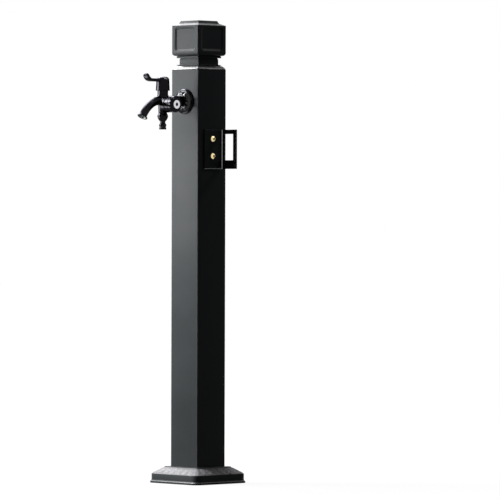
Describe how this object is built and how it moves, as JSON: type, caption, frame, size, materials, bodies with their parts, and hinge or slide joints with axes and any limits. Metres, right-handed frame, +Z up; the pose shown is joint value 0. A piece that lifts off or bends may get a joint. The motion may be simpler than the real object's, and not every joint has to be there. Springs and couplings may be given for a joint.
{
  "type": "garden standpipe",
  "caption": "Square garden standpipe on a moulded base: a lever tap with a curved spout, a hose outlet with its own side knob, a window-cut side hook and a panelled block finial.",
  "frame": {"origin": "on the column's axis at the ground, the middle of the base's underside", "axes": "+Z up; the tap is on the column's -Y face and the hook on its +X face"},
  "size_m": [0.1595, 0.2433, 0.955],
  "materials": {
    "black_paint": "satin black powder coat",
    "black_chrome": "polished black chrome plating",
    "mirror_chrome": "polished chrome",
    "brass": "machined",
    "screw_brass": "brushed",
    "zinc_steel": "zinc plated",
    "rubber": "matt black",
    "ceramic": "lapped white ceramic",
    "pipe_plastic": "white pressure pipe"
  },
  "bodies": {
    "standpipe": {"mounting_plate": "zinc_steel", "base_cover": "black_paint", "column_tube": "black_paint", "column_screws": "zinc_steel", "finial": "black_paint", "finial_screws": "zinc_steel", "supply_connector": "brass", "riser_pipe": "pipe_plastic", "tap_elbow": "brass", "elbow_washer": "rubber", "escutcheon": "black_chrome", "tap_body": "black_chrome", "spout": "black_chrome", "spout_seal": "rubber", "top_valve_housing": "black_chrome", "top_seat_seal": "rubber", "top_fixed_disc": "ceramic", "side_valve_housing": "black_chrome", "side_seat_seal": "rubber", "side_fixed_disc": "ceramic", "hose_washer": "rubber", "coupling_nut": "black_chrome", "hose_nipple": "black_chrome", "nipple_seal": "rubber", "hook_bracket": "black_paint", "hook_screws": "screw_brass", "rivet_nuts": "zinc_steel"},
    "lever": {"top_moving_disc": "ceramic", "top_spindle": "brass", "top_spindle_ring": "rubber", "lever_handle": "black_chrome", "lever_screw": "zinc_steel", "lever_cap": "black_chrome"},
    "knob": {"side_moving_disc": "ceramic", "side_spindle": "brass", "side_spindle_ring": "rubber", "side_knob": "black_chrome", "knob_screw": "zinc_steel", "knob_button": "mirror_chrome"}
  },
  "joints": [
    {"name": "lever_turn", "type": "hinge", "parent": "standpipe", "child": "lever", "pos_m": [0, -0.102, 0.82], "axis": [0, 0, 1], "range_deg": [0, 90]},
    {"name": "knob_turn", "type": "hinge", "parent": "standpipe", "child": "knob", "pos_m": [0.037, -0.102, 0.78], "axis": [1, 0, 0], "range_deg": [0, 90]}
  ]
}
